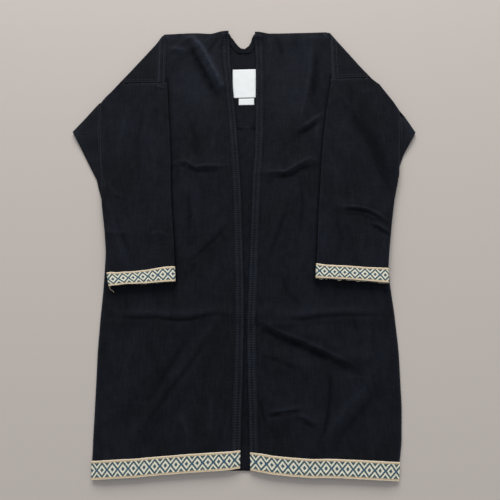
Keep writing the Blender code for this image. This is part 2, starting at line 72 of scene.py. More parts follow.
# %% [markdown]
# ## Measuring the solids
# A shell has to follow its solid, so the script first learns to measure one. One tool is enough: a slice
# gives the solid's extent across it, and many slices trace its outline. Places are in millimetres from the
# middle of the hem, as a cutter would measure them.

# %% Reading a solid
Solid = namedtuple("Solid", "points edges")


def read_solid(name):
    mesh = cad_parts[name].data
    points = np.array([v.co for v in mesh.vertices]) / MM - HEM_MIDDLE
    return Solid(points, np.array([e.vertices for e in mesh.edges]))


SOLIDS = {name: read_solid(name) for name in sorted(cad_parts)}
print("read", len(SOLIDS), "solids")

# %% Slicing a solid
X, Y, Z = 0, 1, 2


def slice_span(solid, axis, at):
    """Lowest and highest of the other coordinate where planes across an axis cut a solid."""
    start, end = solid.points[solid.edges[:, 0]], solid.points[solid.edges[:, 1]]
    low, high = np.empty(len(at)), np.empty(len(at))
    for k, value in enumerate(at):
        before, after = start[:, axis] - value, end[:, axis] - value
        cut = (before * after <= 0.0) & (np.abs(before - after) > 1e-9)
        share = before[cut] / (before[cut] - after[cut])
        there = start[cut, 1 - axis] + share * (end[cut, 1 - axis] - start[cut, 1 - axis])
        low[k], high[k] = there.min(), there.max()
    return low, high


print("width at the waist:", np.round(slice_span(SOLIDS["back"], Y, [450.0]), 1).ravel(), "mm")

# %% [markdown]
# Every panel here has four sides: an inner one towards the opening, an outer one, a bottom and a top. Once
# these four lines are traced, a place on the panel can be named by two shares, one across it and one up it.
# That is how cloth is thought of when it is cut, and it keeps rows of stitches and woven patterns true to
# the edge that they follow.

# %% Tracing a panel's four sides
SLICES = 240
EDGE_MARGIN = 0.6
Patch = namedtuple("Patch", "inner outer bottom top")


def trace(name, side="left"):
    """The four edges of a solid as seen from above, each as places and values to interpolate."""
    solid = SOLIDS[name]
    inward = -SIGN[side] * solid.points[:, X]
    height = solid.points[:, Y]
    inner_low = solid.points[np.argmax(inward - height)]
    inner_high = solid.points[np.argmax(inward + height)]
    outer_low = solid.points[np.argmin(inward + height)]
    outer_high = solid.points[np.argmin(inward - height)]

    def edge(axis, start, end, pick_high):
        first, last = sorted((start[axis], end[axis]))
        at = np.linspace(first + EDGE_MARGIN, last - EDGE_MARGIN, SLICES)
        return at, slice_span(solid, axis, at)[pick_high]

    inner = edge(Y, inner_low, inner_high, side == "left")
    outer = edge(Y, outer_low, outer_high, side == "right")
    bottom = edge(X, inner_low, outer_low, False)
    top = edge(X, inner_high, outer_high, True)
    return Patch(inner, outer, bottom, top)


PATCHES = {f"{name}_{side}": trace(f"{name}_{side}", side)
           for side in SIDES for name in ("front", "front_band", "hem_braid", "sleeve", "cuff_braid")}
print("traced", len(PATCHES), "panels")

# %% [markdown]
# ## Creases
# Washed cotton that was folded for storage keeps soft creases. Cloth simulation gives folds, but not these
# ones, so each crease is listed as a height, a reach and a line, all in millimetres. A reach of a
# few millimetres makes a pressed line and a larger one makes a soft roll. Noise bends the lines a little
# and adds the slight crinkle of the whole cloth.

# %% Distance to a crease
def lerp(a, b, share):
    return a + (b - a) * share


def to_line(x, y, points):
    """How far each place is from a line, and what share of the line has passed there."""
    points = np.array(points, float)
    runs = np.diff(points, axis=0)
    lengths = np.linalg.norm(runs, axis=1)
    passed = np.concatenate(([0.0], np.cumsum(lengths)))
    nearest, share = np.full(x.shape, np.inf), np.zeros(x.shape)
    for k, run in enumerate(runs):
        there = ((x - points[k, X]) * run[X] + (y - points[k, Y]) * run[Y]) / lengths[k] ** 2
        there = np.clip(there, 0.0, 1.0)
        away = np.hypot(x - points[k, X] - there * run[X], y - points[k, Y] - there * run[Y])
        share = np.where(away < nearest, (passed[k] + there * lengths[k]) / passed[-1], share)
        nearest = np.minimum(away, nearest)
    return nearest, share


def ease(t):
    t = np.clip(t, 0.0, 1.0)
    return t * t * (3.0 - 2.0 * t)


# %% Noise over a panel
def lumps(x, y, across, up, seed):
    """Smooth noise, about -1 to 1, whose lumps have a size across and up in millimetres."""
    found = np.empty(x.shape)
    for k in np.ndindex(x.shape):
        found[k] = noise.noise(Vector((x[k] / across, y[k] / up, seed)))
    return found


# %% The creases of each panel
END_FADE = 0.28
WANDER = 2.2
CREASE_STRENGTH = 1.45
SHOULDER_ROLL = ((-113, 893), (-85, 850), (-62, 800), (-47, 776))

CREASES = {
    "front_left": (
        (-1.1, 4.0, ((-262, 279), (-186, 275), (-106, 270), (-58, 282), (-24, 277))),
        (0.7, 7.0, ((-256, 290), (-180, 286), (-104, 282), (-56, 293), (-30, 288))),
        (1.4, 3.6, ((-150, 596), (-123, 601), (-102, 588), (-33, 589))),
        (-1.0, 5.0, ((-146, 586), (-120, 590), (-100, 577), (-50, 578))),
        (0.9, 4.0, ((-136, 590), (-128, 578), (-132, 560))),
        (3.7, 6.5, SHOULDER_ROLL),
        (-2.4, 5.5, ((-116, 863), (-86, 801), (-60, 752))),
        (1.7, 7.0, ((-165, 866), (-129, 861))),
        (0.9, 5.0, ((-44, 892), (-58, 868), (-66, 845))),
        (-0.7, 4.5, ((-52, 893), (-72, 866), (-82, 842))),
        (0.7, 4.0, ((-66, 897), (-86, 878))),
        (-0.9, 7.0, ((-60, 250), (-106, 184), (-161, 112), (-197, 60))),
        (0.5, 9.0, ((-44, 250), (-92, 186), (-146, 114))),
        (1.1, 5.0, ((-121, 96), (-102, 52))),
        (1.0, 5.0, ((-64, 131), (-63, 52))),
        (-0.8, 8.0, ((-100, 246), (-148, 176), (-184, 110))),
        (-1.0, 4.5, ((-116, 540), (-110, 480), (-113, 431))),
        (-0.9, 5.0, ((-108, 386), (-59, 431), (-33, 461))),
        (-0.6, 6.0, ((-120, 700), (-100, 650), (-96, 610))),
        (0.6, 5.0, ((-40, 700), (-62, 660), (-70, 612))),
        (0.6, 6.0, ((-210, 246), (-226, 180), (-222, 120))),
        (-0.5, 6.0, ((-90, 560), (-82, 500), (-88, 450))),
    ),
    "front_right": (
        (-1.0, 4.0, ((62, 270), (110, 270), (170, 277), (272, 276))),
        (0.6, 7.0, ((64, 282), (120, 281), (180, 288), (262, 287))),
        (1.6, 3.6, ((37, 574), (85, 573), (116, 592), (137, 603), (153, 594))),
        (-1.5, 5.5, ((60, 560), (100, 566), (122, 580), (148, 585))),
        (1.6, 5.0, ((148, 880), (143, 795), (131, 736), (119, 678))),
        (-1.5, 7.0, ((160, 850), (156, 790), (144, 726))),
        (1.5, 5.0, ((168, 702), (140, 684), (118, 671))),
        (-1.4, 5.0, ((160, 686), (136, 668), (112, 656))),
        (0.9, 5.0, ((156, 676), (150, 640))),
        (1.4, 4.5, ((28, 270), (60, 251), (108, 232), (164, 205), (210, 183))),
        (-1.6, 5.5, ((28, 258), (60, 238), (108, 219), (164, 192), (208, 171))),
        (-0.8, 5.0, ((29, 204), (104, 176))),
        (-1.2, 5.0, ((161, 187), (158, 122), (147, 68), (133, 43))),
        (0.6, 4.0, ((186, 162), (218, 160))),
        (-1.5, 3.2, ((26, 118), (33, 96), (41, 72))),
        (-1.8, 3.4, ((42, 93), (70, 95), (102, 100))),
        (1.2, 4.0, ((44, 101), (72, 103), (104, 108))),
        (-1.4, 3.4, ((94, 87), (112, 80), (130, 73))),
        (1.0, 4.0, ((98, 94), (116, 88), (134, 81))),
        (0.9, 9.0, ((238, 156), (182, 98), (142, 46))),
        (-0.8, 9.0, ((262, 150), (206, 92), (166, 42))),
        (-1.0, 5.0, ((87, 500), (70, 446), (49, 388))),
        (-0.9, 4.5, ((115, 557), (120, 500), (112, 447))),
        (0.7, 5.0, ((52, 893), (60, 868), (58, 842))),
        (-0.6, 5.0, ((72, 892), (80, 866), (86, 840))),
        (0.6, 5.0, ((238, 260), (228, 190), (240, 110))),
        (-0.6, 6.0, ((70, 360), (84, 320), (112, 292))),
    ),
    "sleeve_left": (
        (0.8, 5.0, ((-281, 510), (-262, 470), (-255, 442))),
        (0.8, 5.0, ((-262, 444), (-248, 414), (-239, 388))),
        (0.8, 4.5, ((-284, 451), (-258, 446), (-232, 449))),
        (0.8, 4.5, ((-193, 443), (-170, 445), (-148, 437))),
        (-0.7, 6.0, ((-270, 492), (-240, 430), (-226, 396))),
        (0.6, 6.0, ((-250, 720), (-262, 640), (-256, 560))),
        (-0.6, 7.0, ((-212, 740), (-224, 650), (-216, 560))),
        (0.6, 5.0, ((-196, 700), (-190, 620), (-182, 540))),
        (0.6, 5.0, ((-286, 560), (-264, 528), (-240, 520))),
        (0.5, 4.0, ((-250, 400), (-246, 380))),
        (1.2, 3.5, ((-186, 772), (-172, 766))),
    ),
    "sleeve_right": (
        (1.3, 2.8, ((192, 495), (222, 494), (250, 489), (290, 462))),
        (-1.3, 3.2, ((198, 487), (224, 486), (248, 481), (286, 455))),
        (1.3, 3.4, ((258, 460), (276, 450), (290, 441))),
        (-1.3, 3.6, ((252, 454), (274, 443), (290, 433))),
        (-2.0, 12.0, ((225, 712), (272, 620), (297, 530))),
        (0.7, 6.0, ((206, 742), (240, 690), (256, 640))),
        (-0.7, 5.0, ((200, 480), (236, 476), (270, 458))),
        (0.7, 5.0, ((176, 610), (190, 560), (186, 510))),
        (0.6, 5.0, ((170, 588), (176, 572))),
        (0.6, 5.0, ((238, 446), (232, 410), (240, 386))),
        (-0.6, 6.0, ((186, 470), (192, 430), (184, 392))),
    ),
    "back": (
        (-0.8, 1.8, ((-46, 675), (0, 674.5), (52, 674))),
        (0.6, 2.6, ((-46, 679), (0, 678.5), (52, 678))),
        (0.5, 3.0, ((-19, 870), (-6, 856), (4, 846))),
        (0.4, 4.0, ((-22, 640), (12, 600), (6, 560))),
        (0.4, 4.0, ((14, 520), (0, 470), (6, 420))),
        (0.35, 3.0, ((-8, 380), (0, 320), (-4, 250))),
        (0.35, 3.0, ((6, 220), (0, 160), (4, 90))),
    ),
}


def relief(name, x, y, seed, crinkle=1.0):
    """What the creases and the crinkle of the cloth add to a panel's height."""
    bent_x = x + WANDER * lumps(x, y, 38.0, 38.0, seed + 5.0)
    bent_y = y + WANDER * lumps(x, y, 38.0, 38.0, seed + 9.0)
    added = 0.8 * lumps(x, y, 58.0, 92.0, seed + 7.0) + 0.75 * lumps(x, y, 27.0, 46.0, seed)
    added = crinkle * (added + 0.22 * lumps(x, y, 10.0, 16.0, seed + 2.0))
    for rise, reach, points in CREASES.get(name, ()):
        away, share = to_line(bent_x, bent_y, points)
        ends = ease(share / END_FADE) * ease((1.0 - share) / END_FADE)
        shape = 0.6 * np.exp(-((away / reach) ** 2)) + 0.5 * np.exp(-away / (0.55 * reach))
        added += CREASE_STRENGTH * rise * shape * (0.25 + 0.75 * ends)
    return added


print("creases placed by hand:", sum(len(found) for found in CREASES.values()))

# %% [markdown]
# ## Cotton
# The cloth is a washed, almost black navy cotton with slubs along its length. A flat dark colour would look
# like a hole in the picture. What makes it read as cotton is a slight drift between navy and black, thin
# paler threads, a fine weave in the bump, and wear: raised edges and seams have lost some of their dye.
# Light and shade are painted into the colour as well: the crests of creases and puckers and the shoulder
# roll are painted paler as highlight, and the bottoms of creases, rib troughs, the neck band and lines
# beside the sleeves and along the bands are painted darker as shade. The wear and the painted light are
# measured on the mesh and kept as one attribute, so they stay where they belong.

# %% Building materials
def add_node(tree, kind, inputs=None, **settings):
    made = tree.nodes.new(kind)
    for key, value in settings.items():
        setattr(made, key, value)
    for key, value in (inputs or {}).items():
        if isinstance(value, bpy.types.NodeSocket):
            tree.links.new(value, made.inputs[key])
        else:
            made.inputs[key].default_value = value
    return made


def add_math(tree, operation, first, second=0.0):
    made = add_node(tree, "ShaderNodeMath", {0: first, 1: second}, operation=operation)
    return made.outputs[0]


def blend_colours(tree, share, first, second):
    """Two colours, as values or sockets, mixed by a share."""
    made = tree.nodes.new("ShaderNodeMix")
    made.data_type = "RGBA"
    factor, start, end = made.inputs[0], made.inputs[6], made.inputs[7]
    for socket, value in ((factor, share), (start, first), (end, second)):
        if isinstance(value, bpy.types.NodeSocket):
            tree.links.new(value, socket)
        elif socket == factor:
            socket.default_value = value
        else:
            socket.default_value = (*value, 1.0)
    return made.outputs[2]


def new_material(name, roughness, specular=0.5, colour=None):
    """A material, its node tree and its shader, whose plain values are set."""
    made = bpy.data.materials.new(name)
    made.use_nodes = True
    shader = made.node_tree.nodes["Principled BSDF"]
    shader.inputs["Roughness"].default_value = roughness
    shader.inputs["Specular IOR Level"].default_value = specular
    if colour:
        shader.inputs["Base Color"].default_value = (*colour, 1.0)
    return made, made.node_tree, shader


def add_bump(tree, shader, height, strength, distance):
    bump = add_node(tree, "ShaderNodeBump", {"Height": height, "Strength": strength, "Distance": distance})
    tree.links.new(bump.outputs[0], shader.inputs["Normal"])


# %% The cotton
# Painted shade colour, used where the attribute is below 0. The yoke seam's dark line uses it too.
PAINTED_SHADE_AND_SEAM_COLOUR = (0.0018, 0.0020, 0.0028)
SHADE_COLOUR = (0.0022, 0.0024, 0.0034)
STREAKS = (((2.8, 26.0, 9.0), 0.24), ((22.0, 3.0, 9.0), 0.14), ((1.1, 22.0, 5.0), 0.12))
SHADES = (((16.0, 26.0, 20.0), 0.34), ((3.0, 4.4, 4.0), 0.12))


def cotton(name, dark, light, worn, rubbed_and_lit_colour):
    """Washed cotton. Its colour drifts between two tones. Worn places and painted highlights are paler, and
    painted shade and the yoke seam's line are darker.
    """
    made, tree, shader = new_material(name, 0.95, 0.05)
    where = add_node(tree, "ShaderNodeTexCoord").outputs["Object"]
    wear_and_light = add_node(tree, "ShaderNodeAttribute", attribute_name="wear_and_light").outputs["Fac"]

    def noise_of(size, detail=2.0):
        """Noise whose lumps have these sizes in millimetres along X, Y and Z."""
        scale = [1.0 / (s * MM) for s in size]
        scaled = add_node(tree, "ShaderNodeMapping", {"Vector": where, "Scale": scale})
        inputs = {"Vector": scaled.outputs[0], "Detail": detail, "Scale": 1.0}
        return add_node(tree, "ShaderNodeTexNoise", inputs).outputs[0]

    def stretched(value, low, high):
        made = add_node(tree, "ShaderNodeMapRange", {"Value": value, "From Min": low, "From Max": high})
        return made.outputs[0]

    tone = blend_colours(tree, stretched(noise_of((95.0, 130.0, 95.0), 3.0), 0.35, 0.65), dark, light)
    for size, strength in STREAKS:
        streak = add_math(tree, "MULTIPLY", stretched(noise_of(size), 0.38, 0.72), strength)
        tone = blend_colours(tree, streak, tone, worn)
    for size, strength in SHADES:
        shade = add_math(tree, "MULTIPLY", stretched(noise_of(size), 0.42, 0.75), strength)
        tone = blend_colours(tree, shade, tone, SHADE_COLOUR)
    patchy = stretched(noise_of((2.2, 2.2, 2.2), 3.0), 0.3, 0.68)
    # Painted shade: below 0 the attribute darkens the colour at crease bottoms and other shaded places, and
    # on the yoke seam.
    shade_and_seam = add_math(tree, "MULTIPLY", add_math(tree, "MINIMUM", wear_and_light, 0.0), -1.0)
    tone = blend_colours(tree, shade_and_seam, tone, PAINTED_SHADE_AND_SEAM_COLOUR)
    # Above 0 the attribute makes the colour paler: real wear on edges and seams, and painted highlight on
    # crests.
    rubbed_and_lit = add_math(tree, "MAXIMUM", wear_and_light, 0.0)
    rubbed_and_lit = add_math(tree, "MULTIPLY", rubbed_and_lit, add_math(tree, "ADD", patchy, 0.15))
    tree.links.new(blend_colours(tree, rubbed_and_lit, tone, rubbed_and_lit_colour), shader.inputs["Base Color"])
    shader.inputs["Sheen Weight"].default_value = 0.035
    shader.inputs["Sheen Roughness"].default_value = 0.5
    shader.inputs["Sheen Tint"].default_value = (0.55, 0.60, 0.70, 1.0)
    crumple = add_math(tree, "ADD", noise_of((5.5, 8.0, 7.0), 4.0),
                       add_math(tree, "MULTIPLY", noise_of((0.8, 5.0, 2.0)), 0.3))
    add_bump(tree, shader, crumple, 0.6, 1.1 * MM)
    return made


# %% [markdown]
# ## Cloth on its solid
# A cloth simulation could drape each panel again, but it would lose the way that this coat was laid. So
# each shell starts as a finer copy of its solid. Edges that face up are split until they are short enough
# to carry a crease, while hidden ones stay long, which keeps the mesh light. The split surface is then
# relaxed, so that it bends softly instead of in flat facets, and the creases are added last.

# %% Splitting a solid's edges
WELD = 1e-6
SPLIT_ROUNDS = 7
FACING_UP = 0.25


def finer(name, shown_edge, hidden_edge, shown=None):
    """A copy of a solid whose upward edges are short. Its places are in millimetres from the hem."""
    mesh = bmesh.new()
    mesh.from_mesh(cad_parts[name].data)
    bmesh.ops.remove_doubles(mesh, verts=mesh.verts, dist=WELD)
    for vertex in mesh.verts:
        vertex.co = Vector(np.array(vertex.co) / MM - HEM_MIDDLE)
    for _ in range(SPLIT_ROUNDS):
        mesh.normal_update()
        long = []
        for edge in mesh.edges:
            middle = (edge.verts[0].co + edge.verts[1].co) / 2.0
            seen = max(face.normal.z for face in edge.link_faces) > FACING_UP
            seen = seen and (shown is None or shown(middle.x, middle.y))
            if edge.calc_length() > (shown_edge if seen else hidden_edge):
                long.append(edge)
        if not long:
            break
        bmesh.ops.subdivide_edges(mesh, edges=long, cuts=1)
        bmesh.ops.triangulate(mesh, faces=[face for face in mesh.faces if len(face.verts) > 3])
    mesh.normal_update()
    return mesh


# %% Relaxing values over a mesh
def relax(values, edges, passes, free):
    """Each free value moves towards the mean of its neighbours, again and again."""
    start, end = edges.T
    count = np.bincount(edges.ravel(), minlength=len(values))
    for _ in range(passes):
        total = np.bincount(start, values[end], len(values)) + np.bincount(end, values[start], len(values))
        values = np.where(free, lerp(values, total / count, 0.6), values)
    return values


def inside(chosen, edges):
    """The chosen points whose neighbours are all chosen too."""
    start, end = edges.T
    outside = np.bincount(start, ~chosen[end], len(chosen)) + np.bincount(end, ~chosen[start], len(chosen))
    return chosen & (outside == 0)


# %% [markdown]
# ## Dressing a piece
# One function dresses every piece. It takes the fine copy, shifts it where the coat was laid a little off
# its solid, relaxes it, adds what the piece's own relief function asks for, and writes the result as a new
# object in metres. Two attributes go with it. One says how worn the cloth is and where highlight and shade
# are painted on it, the other is a chart: how far along and across the piece each point lies, which a woven
# pattern needs.

# %% How the hem lies
FRONT_HEM = ((-281, 0.0), (-200, -3.6), (-130, -2.8), (-60, -1.0), (-28, 0.5), (-10, 3.4), (10, -0.6),
             (50, -6.4), (85, -8.8), (120, -9.6), (150, -7.6), (200, -5.8), (277, -2.2))
BACK_HEM = ((-281, 0.0), (-165, -3.0), (-60, -1.2), (0, -1.6), (40, -3.4), (110, -7.6), (190, -5.8),
            (277, -2.2))
HEM_SHIFT_TOP = 45.0
HEM_SHIFT_FADE = 90.0


def value_at(x, line):
    """The value at x on a line of pairs, each an x and a value."""
    return np.interp(x, *np.array(line).T)


def hem_shift(name, x, y):
    """The hems lie a few millimetres off a true curve. The shift fades out up the cloth."""
    line = BACK_HEM if "back" in name else FRONT_HEM
    return value_at(x, line) * (1.0 - ease((y - HEM_SHIFT_TOP) / HEM_SHIFT_FADE))


print("the fronts' hems lie lower by up to", -min(low for _, low in FRONT_HEM), "mm")

# %% The dressing function
TREES = {}
STEEP = 0.55
BLEND_PASSES = 3
LEAST_OVER_FLOOR = 0.35


def placed(name, data, solid=None):
    """A new object on the coat's one body, in place of a solid if one is named."""
    piece = bpy.data.objects.new(name, data)
    bpy.context.scene.collection.objects.link(piece)
    if solid:
        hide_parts(solid)
    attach(piece, "root")
    return piece


def dress(name, shown_edge, added, material, hidden_edge=16.0, passes=14, shown=None,
          wear_and_light=None, chart=None, lift_all=False, moved=None, rounded=None, rounding=14):
    """Replaces a solid by a cloth shell. added(x, y) is the relief in millimetres."""
    mesh = finer(name, shown_edge, hidden_edge, shown)
    cut_x, cut_y, _ = np.array([vertex.co for vertex in mesh.verts]).T
    if moved:
        for vertex in mesh.verts:
            vertex.co = moved(*vertex.co)
    for vertex in mesh.verts:
        vertex.co.y += hem_shift(name, vertex.co.x, vertex.co.y)
    mesh.verts.index_update()
    points = np.array([vertex.co for vertex in mesh.verts])
    edges = np.array([[vertex.index for vertex in edge.verts] for edge in mesh.edges])
    up = np.array([vertex.normal.z for vertex in mesh.verts]) > STEEP
    free = inside(up, edges)
    x, y, z = points.T
    if rounded:
        soft = rounded(x, y, z)
        x, y = (relax(values, edges, rounding, soft) for values in (x, y))
    z = relax(z, edges, passes, free)
    share = np.ones(len(x)) if lift_all else relax(free.astype(float), edges, BLEND_PASSES, free | up)
    raised = np.maximum(z + share * added(x, y), LEAST_OVER_FLOOR)
    z = np.where(points[:, Z] > LEAST_OVER_FLOOR, raised, z)
    for vertex, place in zip(mesh.verts, np.stack((x, y, z), axis=1)):
        vertex.co = place
    TREES[name] = BVHTree.FromBMesh(mesh)
    for vertex in mesh.verts:
        vertex.co = Vector((np.array(vertex.co) + HEM_MIDDLE) * MM)
    made = bpy.data.meshes.new(f"{name}_cloth")
    mesh.to_mesh(made)
    mesh.free()
    made.shade_smooth()
    # Wear and painted light for each point: above 0 paler, below 0 painted shade.
    worn = np.clip(wear_and_light(x, y), -1.0, 1.0) if wear_and_light else np.zeros(len(x))
    made.attributes.new("wear_and_light", "FLOAT", "POINT").data.foreach_set("value", worn)
    charted = np.stack(chart(cut_x, cut_y) if chart else (x, y, z), axis=1) * MM
    made.attributes.new("chart", "FLOAT_VECTOR", "POINT").data.foreach_set("vector", charted.ravel())
    made.materials.append(material)
    print(name, "has", len(made.polygons), "triangles, top at", round(float(z.max()), 1), "mm")
    return placed(f"{name}_cloth", made, name)


# %% Where a place lies on its panel
def shares_of(patch, x, y):
    """Shares across a panel, from its inner edge, and up it, from its bottom."""
    inner, outer = np.interp(y, *patch.inner), np.interp(y, *patch.outer)
    bottom, top = np.interp(x, *patch.bottom), np.interp(x, *patch.top)
    return (x - inner) / (outer - inner), (y - bottom) / (top - bottom)


def near(value, line, reach):
    """1 where a value is on a line, falling to 0 past its reach."""
    return np.exp(-(((value - line) / reach) ** 2))


def near_line(x, y, points, reach):
    """1 on a line of several points, falling to 0 past its reach."""
    return near(to_line(x, y, points)[0], 0.0, reach)


def crease_highlight_and_shade(height):
    """Painted light on the creases: crests are painted a little paler as highlight, and the bottoms of
    creases darker as shade.
    """
    return 0.07 * np.clip(height, 0.0, 2.0) + 0.38 * np.clip(height, -1.6, 0.0)


# %% [markdown]
# ## The fronts
# Each front is one straight panel from the shoulder to the hem. Its creases come from the table above. The
# side seam is the most worn line of it, because it sticks out and rubs, and the chest is a little paler.
# Beside the sleeve the cloth is pressed down into a groove, and a dark line of painted shadow is added
# along it.

# %% Dressing the fronts
COTTON = cotton("cotton", (0.0060, 0.0066, 0.0082), (0.0078, 0.0093, 0.0144), (0.0190, 0.0203, 0.0245),
                (0.047, 0.056, 0.077))
SEEDS = {"left": 11.0, "right": 47.0}
FRONT_EDGE = 3.4
CHEST_PALER_BY = 0.12
ROLL_PAINTED_HIGHLIGHT = 0.26
SEAM_WEAR = 0.45
SLEEVE_PAINTED_SHADOW = 0.75
SLEEVE_FROM, SLEEVE_TO = 326.0, 800.0
GROOVE = 1.7
CORNER_SLIP = 6.5
CORNER_TUCK = 6.0
SHOULDER_DROP = {"left": 0.8, "right": 2.4}


def beside_sleeve(side, x, y):
    """1 along the inner edge of the sleeve that lies on a front, and 0 away from it."""
    edge = np.interp(y, *PATCHES[f"sleeve_{side}"].inner)
    ends = ease((y - SLEEVE_FROM) / 16.0) * ease((SLEEVE_TO - y) / 16.0)
    return ends * near(x, edge + SIGN[side] * 0.5, 4.2)


def dress_front(side):
    name = f"front_{side}"
    outer = PATCHES[name].outer

    def wear_and_light(x, y):
        seam = near(x, np.interp(y, *outer), 2.2)
        # The upper chest is a little paler.
        chest_paler = CHEST_PALER_BY * near(np.abs(x), 92.0, 50.0) * near(y, 790.0, 90.0)
        # Painted highlight: the crest of the roll over the left shoulder is painted paler.
        roll_highlight = ROLL_PAINTED_HIGHLIGHT * near_line(x, y, SHOULDER_ROLL, 7.0)
        # Crease crests painted paler as highlight, crease bottoms painted darker as shade.
        creases = crease_highlight_and_shade(relief(name, x, y, SEEDS[side], 0.0))
        # Painted shadow: a dark line is painted beside the sleeve's inner edge, along with the groove
        # there.
        return SEAM_WEAR * seam + chest_paler + roll_highlight + creases - SLEEVE_PAINTED_SHADOW * beside_sleeve(side, x, y)

    def added(x, y):
        return relief(name, x, y, SEEDS[side]) - GROOVE * beside_sleeve(side, x, y)

    def under_corner(x, y, z):
        """The front's outer edge slips in under the back's folded corner."""
        slip = CORNER_SLIP * ease((y - 780.0) / 20.0) + CORNER_TUCK * ease((y - 884.0) / 14.0)
        lowered = SHOULDER_DROP[side] * ease((y - 872.0) / 30.0)
        return x + SIGN[side] * slip * near(x, np.interp(y, *outer), 14.0), y - lowered, z

    cloth = dress(name, FRONT_EDGE, added, COTTON, wear_and_light=wear_and_light, lift_all=True, moved=under_corner)


for side in SIDES:
    dress_front(side)

# %% [markdown]
# ## The back
# The back lies on the floor and shows in two places only: down the open middle, where fine upright ribs run
# on its inside, their troughs painted darker as shade, and at the two shoulder corners, which are folded
# over the fronts with the sleeves. Only those places need short edges. A seam of its yoke crosses the
# middle.

# %% Dressing the back
SHOULDER_SEAM = {"left": -171.0, "right": 189.0}
CORNER_FOLDS = (((-267, 789), (-174, 905)), ((268, 789), (184, 902)))
YOKE_SEAM = ((-50, 675), (0, 674.5), (52, 674))
CORNER_START = 770.0
BACK_EDGE = 2.6
BACK_SEED = 71.0
RIB_PITCH = 5.2
RIB_HEIGHT = 0.28
RIBS_END = 700.0
TUCK_TROUGH_SHADE = 0.55
YOKE_DARK = 0.9


def back_shown(x, y):
    return -62.0 < x < 60.0 or (y > CORNER_START and (x < -150.0 or x > 168.0))


def rib_wave(x, y):
    """Upright tucks on the back's inside, about -1 to 1. They wander a little and die out near the yoke."""
    strength = ease((RIBS_END - y) / 120.0) * (0.65 + 0.5 * lumps(x, y, 12.0, 70.0, 15.0))
    wander = 1.2 * lumps(x, y, 60.0, 90.0, 17.0)
    return strength * np.sin((x + wander) * 2.0 * math.pi / RIB_PITCH)


def back_relief(x, y):
    middle = near(x, 0.0, 60.0)
    corners = ease((y - CORNER_START) / 20.0) * (np.abs(x) > 120.0)
    ribs = RIB_HEIGHT * rib_wave(x, y) * middle
    return (middle * np.clip(relief("back", x, y, BACK_SEED, 0.4), -0.6, 1.0) + ribs
            + corners * relief("back", x, y, BACK_SEED, 0.8))


def back_wear_and_shade(x, y):
    fold = sum(near_line(x, y, line, 3.0) for line in CORNER_FOLDS)
    left = near(x, SHOULDER_SEAM["left"], 3.0) + near(x, SHOULDER_SEAM["left"] - 14.0, 3.0)
    right = near(x, SHOULDER_SEAM["right"] + 3.0, 4.0)
    seams = (left + right) * (y > CORNER_START)
    # Painted shade: the troughs of the ribs are painted darker.
    tucks = np.minimum(rib_wave(x, y), 0.0) * (np.abs(x) < 60.0)
    return 0.45 * fold + 0.22 * seams - YOKE_DARK * near_line(x, y, YOKE_SEAM, 1.8) + TUCK_TROUGH_SHADE * tucks


CORNER_REACH = {"left": 4.0, "right": 0.5}
ARMHOLE_DROP = 6.5
ARMHOLE_SLOPE = 0.95


def armhole_slid(x, y, drop):
    """A place near an armhole is lowered. Near the coat's slanting outline it slides along that."""
    outward = ease((abs(x) - 190.0) / 60.0)
    return x + math.copysign(ARMHOLE_SLOPE * drop * outward, x), y - drop


def corner_raised(x, y, z):
    """The folded corner reaches the shoulder line, and its seam to the sleeve sits a little lower."""
    if abs(x) < 150.0 or z < 4.0 or y < CORNER_START:
        return x, y, z
    reach = CORNER_REACH["left" if x < 0.0 else "right"] * ease((y - 876.0) / 18.0)
    x, y = armhole_slid(x, y, ARMHOLE_DROP * (1.0 - ease((y - 790.0) / 24.0)))
    return x, y + reach, z


def neck_rounded(x, y, z):
    return (np.abs(x) < 40.0) & (y > 850.0)


back_cloth = dress("back", BACK_EDGE, back_relief, COTTON, shown=back_shown, hidden_edge=24.0,
                   passes=5, wear_and_light=back_wear_and_shade, moved=corner_raised, rounded=neck_rounded, rounding=3)

# %% [markdown]
# ## The sleeves
# Each sleeve is a flat tube that was folded in at the armhole and laid down over the front. Both of its
# long edges are folds, so both are a little worn. The cuff stays open, and its braid goes all round it.

# %% How the cuffs lie
CUFF_TOPS = {
    "left": ((-264, 0.0), (-248, -4.2), (-223, -5.2), (-191, -3.8), (-174, -1.8), (-158, 0.0)),
    "right": ((140, 3.0), (150, 1.4), (162, 0.2), (200, 0.0), (235, -1.6), (281, -1.6)),
}
CUFF_BOTTOMS = {
    "left": ((-264, 1.0), (-230, 2.7), (-195, 1.0), (-158, 1.5), (-136, 1.2)),
    "right": ((140, 5.0), (205, 4.6), (245, 3.2), (280, 1.6)),
}
CUFF_FADE = 60.0


def cuff_raised(side, x, y):
    """How far up a place lies from a straight cuff. The braid curls a little, so it looks narrower."""
    patch = PATCHES[f"cuff_braid_{side}"]
    bottom, top = np.interp(x, *patch.bottom), np.interp(x, *patch.top)
    up = np.clip((y - bottom) / (top - bottom), 0.0, 1.0)
    change = lerp(value_at(x, CUFF_BOTTOMS[side]), value_at(x, CUFF_TOPS[side]), up)
    return change * (1.0 - ease((y - top) / CUFF_FADE))


print("the left cuff's top edge lies lower by up to", -min(low for _, low in CUFF_TOPS["left"]), "mm")

# %% Dressing the sleeves
SLEEVE_EDGE = 3.4
ARMHOLES = {"left": ((-264, 783), (-215, 781), (-170, 780)), "right": ((188, 781), (227, 782), (266, 782))}


